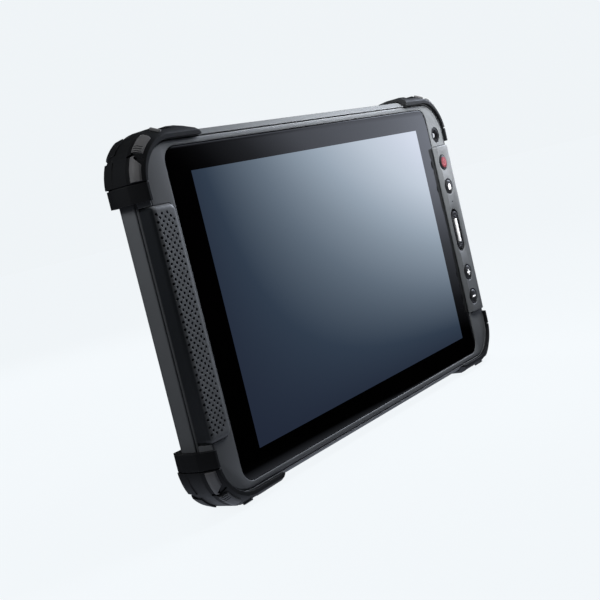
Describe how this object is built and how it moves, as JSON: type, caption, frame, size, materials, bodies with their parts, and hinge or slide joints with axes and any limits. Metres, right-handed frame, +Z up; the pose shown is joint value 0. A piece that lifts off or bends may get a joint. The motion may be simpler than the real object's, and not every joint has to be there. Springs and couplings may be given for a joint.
{
  "type": "rugged field data collector tablet",
  "caption": "Landscape rugged handheld computer: bordered glass screen, perforated speaker side, key column with round keys and fingerprint strip, rubber corner bumpers.",
  "frame": {"origin": "on the floor under the middle of the case, which stands upright on its two lower bumpers", "axes": "+X to the right as the screen is read, +Y from the screen to the back, +Z up the screen"},
  "size_m": [0.2336, 0.0206, 0.1438],
  "materials": {
    "housing_plastic": "fine moulded texture, satin",
    "bezel_plastic": "fine moulded texture, satin",
    "grille_plastic": "fine moulded texture, perforated",
    "bumper_rubber": "moulded matt rubber",
    "seal_rubber": "soft black gasket",
    "cover_glass": "black-bordered polished cover glass, opaque when the screen is off",
    "display_metal": "thin pressed display frame",
    "frame_metal": "die-cast, bead blasted",
    "board_green": "solder mask",
    "shield_metal": "tinned can",
    "antenna_ceramic": "unglazed",
    "antenna_copper": "bare foil",
    "key_black": "smooth black key",
    "key_red": "smooth red key",
    "membrane_silicone": "translucent silicone",
    "sensor_black": "smooth black",
    "strip_metal": "polished strip",
    "camera_black": "satin black barrel",
    "camera_glass": "polished lens",
    "lamp_lens": "frosted lens",
    "speaker_black": "speaker box",
    "pack_plastic": "fine moulded texture",
    "latch_plastic": "satin black",
    "contact_gold": "gold-plated contacts",
    "port_metal": "drawn shell",
    "port_plastic": "black moulding",
    "flap_rubber": "matt rubber flap",
    "pin_steel": "turned pin",
    "screw_steel": "black-plated screw"
  },
  "bodies": {
    "case": {"front_housing": "housing_plastic", "rear_housing": "housing_plastic", "key_panel": "housing_plastic", "front_bezel": "bezel_plastic", "speaker_grille": "grille_plastic", "upper_left_bumper": "bumper_rubber", "upper_right_bumper": "bumper_rubber", "lower_left_bumper": "bumper_rubber", "lower_right_bumper": "bumper_rubber", "glass_seal": "seal_rubber", "housing_seal": "seal_rubber", "touch_glass": "cover_glass", "display_panel": "display_metal", "mid_frame": "frame_metal", "main_board": "board_green", "key_board": "board_green", "processor_shield": "shield_metal", "gnss_antenna": "antenna_ceramic", "wifi_antenna": "antenna_copper", "key_membrane": "membrane_silicone", "fingerprint_sensor": "sensor_black", "fingerprint_strip": "strip_metal", "front_camera_ring": "camera_black", "front_camera": "camera_black", "rear_camera": "camera_black", "front_camera_lens": "camera_glass", "rear_camera_window": "camera_glass", "flash_lens": "lamp_lens", "upper_speaker": "speaker_black", "lower_speaker": "speaker_black", "battery_pack": "pack_plastic", "battery_terminal": "contact_gold", "lower_usb_port": "port_metal", "upper_usb_port": "port_metal", "headset_jack": "port_plastic", "dock_connector": "port_plastic", "port_cover_pin": "pin_steel", "left_lower_screw": "screw_steel", "left_upper_screw": "screw_steel", "right_lower_screw": "screw_steel", "right_upper_screw": "screw_steel", "lower_left_screw": "screw_steel", "upper_left_screw": "screw_steel", "lower_right_screw": "screw_steel", "upper_right_screw": "screw_steel"},
    "power_key": {"power_key": "key_red"},
    "home_key": {"home_key": "key_black"},
    "volume_up_key": {"volume_up_key": "key_black"},
    "volume_down_key": {"volume_down_key": "key_black"},
    "left_battery_latch": {"left_battery_latch": "latch_plastic"},
    "right_battery_latch": {"right_battery_latch": "latch_plastic"},
    "port_cover": {"port_cover": "flap_rubber"}
  },
  "joints": [
    {"name": "power_key_press", "type": "slide", "parent": "case", "child": "power_key", "axis": [0, 1, 0], "range_m": [0, 0.00045], "stiffness_N_per_m": 2000},
    {"name": "home_key_press", "type": "slide", "parent": "case", "child": "home_key", "axis": [0, 1, 0], "range_m": [0, 0.00045], "stiffness_N_per_m": 2000},
    {"name": "volume_up_key_press", "type": "slide", "parent": "case", "child": "volume_up_key", "axis": [0, 1, 0], "range_m": [0, 0.00045], "stiffness_N_per_m": 2000},
    {"name": "volume_down_key_press", "type": "slide", "parent": "case", "child": "volume_down_key", "axis": [0, 1, 0], "range_m": [0, 0.00045], "stiffness_N_per_m": 2000},
    {"name": "left_battery_latch_slide", "type": "slide", "parent": "case", "child": "left_battery_latch", "axis": [0, 0, 1], "range_m": [0, 0.004], "stiffness_N_per_m": 200},
    {"name": "right_battery_latch_slide", "type": "slide", "parent": "case", "child": "right_battery_latch", "axis": [0, 0, 1], "range_m": [0, 0.004], "stiffness_N_per_m": 200},
    {"name": "port_cover_hinge", "type": "hinge", "parent": "case", "child": "port_cover", "pos_m": [0.1126, 0.00255, 0.0509], "axis": [0, 1, 0], "range_deg": [0, 110]}
  ]
}
